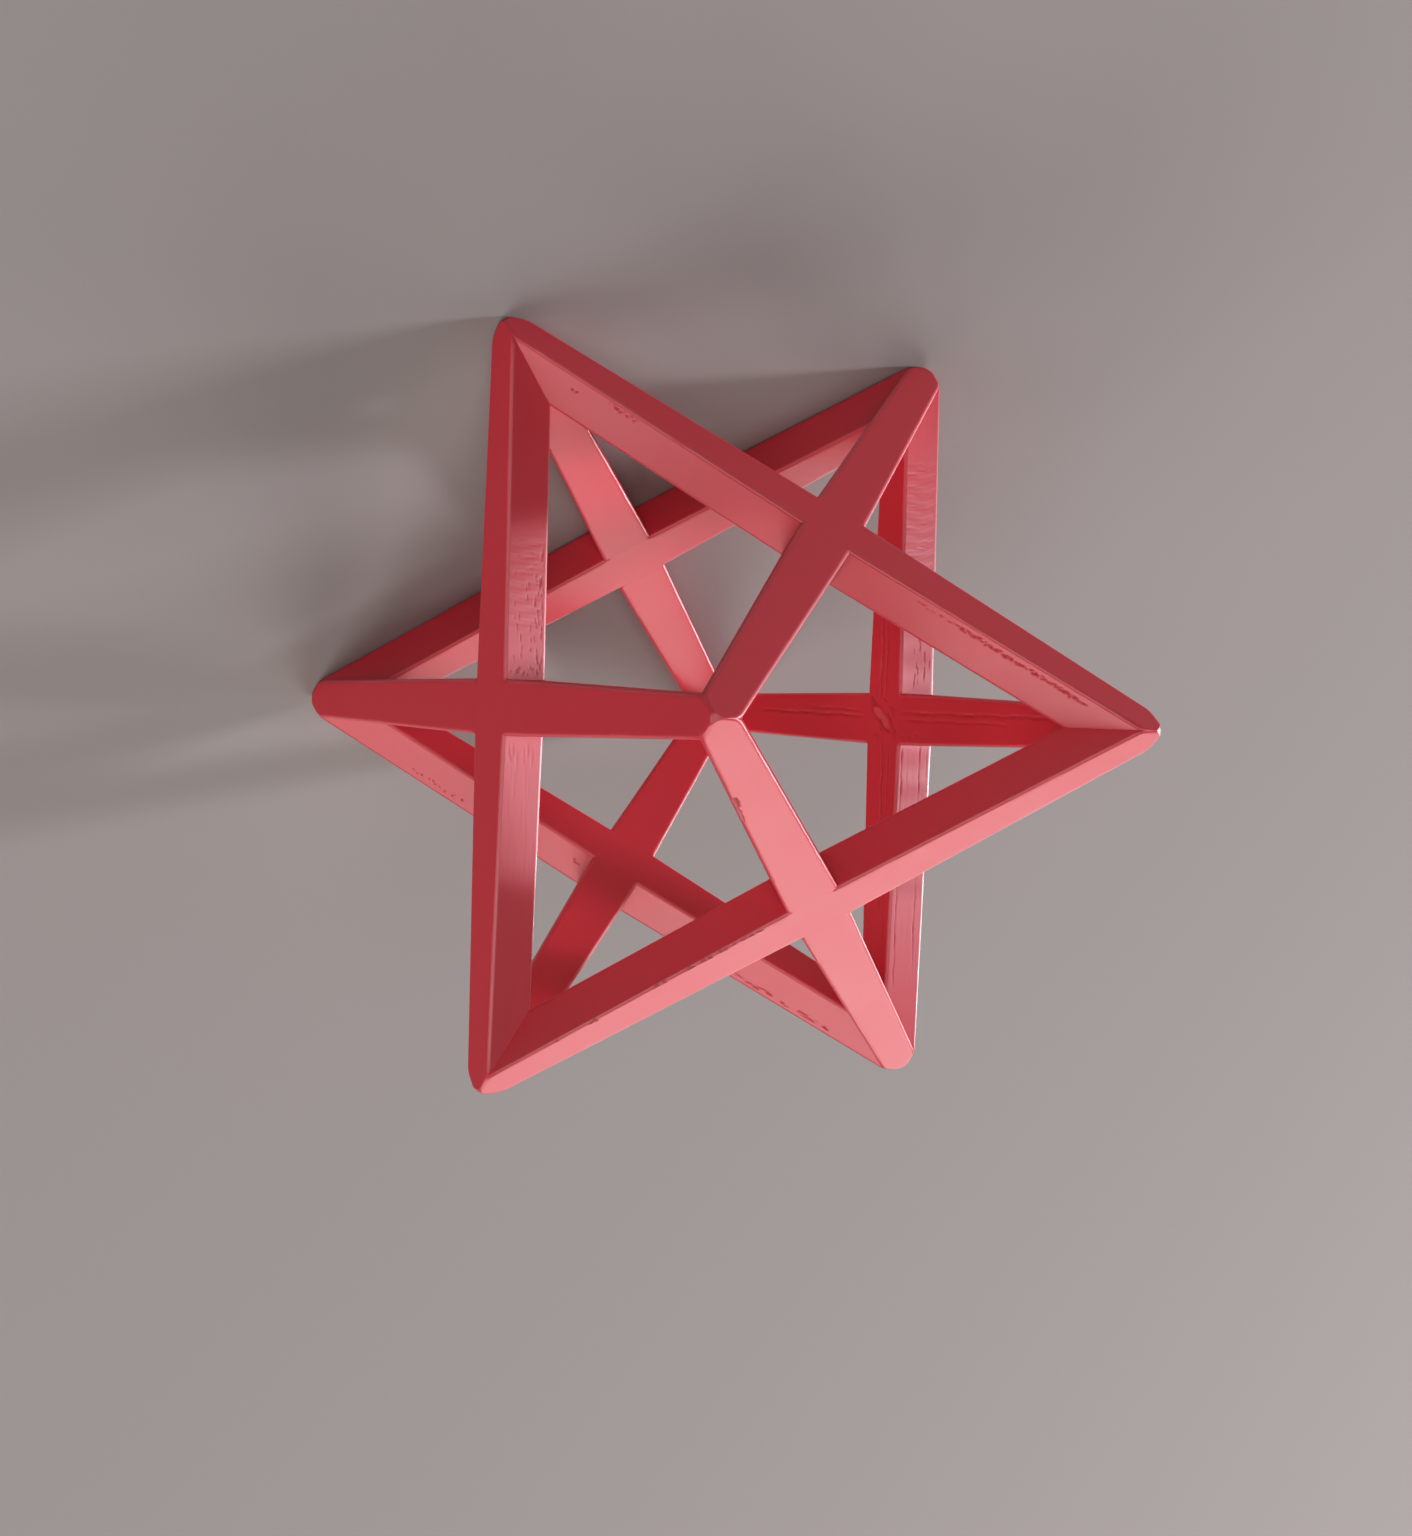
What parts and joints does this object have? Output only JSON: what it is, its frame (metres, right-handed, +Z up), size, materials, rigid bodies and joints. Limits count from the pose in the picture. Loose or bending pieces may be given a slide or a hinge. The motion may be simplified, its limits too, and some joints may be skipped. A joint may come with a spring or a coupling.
{
  "type": "star polyhedron ornament",
  "caption": "Openwork star polyhedron ornament: two interlocked tetrahedra of tapered coral-red plastic bars, half-lapped where they cross and mitred at the rounded tips",
  "frame": {"origin": "centre of the bottom face, where its two bars cross, on the surface that the star stands on", "axes": "+Z up out of the surface; X and Y along the edges of the cube that joins the tips, with the front at -Y"},
  "size_m": [0.063, 0.063, 0.063],
  "materials": {
    "coral_plastic": "satin printed plastic with fine layer lines"
  },
  "bodies": {
    "root": {"first_tetra_bottom_bar": "coral_plastic", "first_tetra_top_bar": "coral_plastic", "first_tetra_front_bar": "coral_plastic", "first_tetra_back_bar": "coral_plastic", "first_tetra_left_bar": "coral_plastic", "first_tetra_right_bar": "coral_plastic", "second_tetra_bottom_bar": "coral_plastic", "second_tetra_top_bar": "coral_plastic", "second_tetra_front_bar": "coral_plastic", "second_tetra_back_bar": "coral_plastic", "second_tetra_left_bar": "coral_plastic", "second_tetra_right_bar": "coral_plastic"}
  },
  "joints": []
}
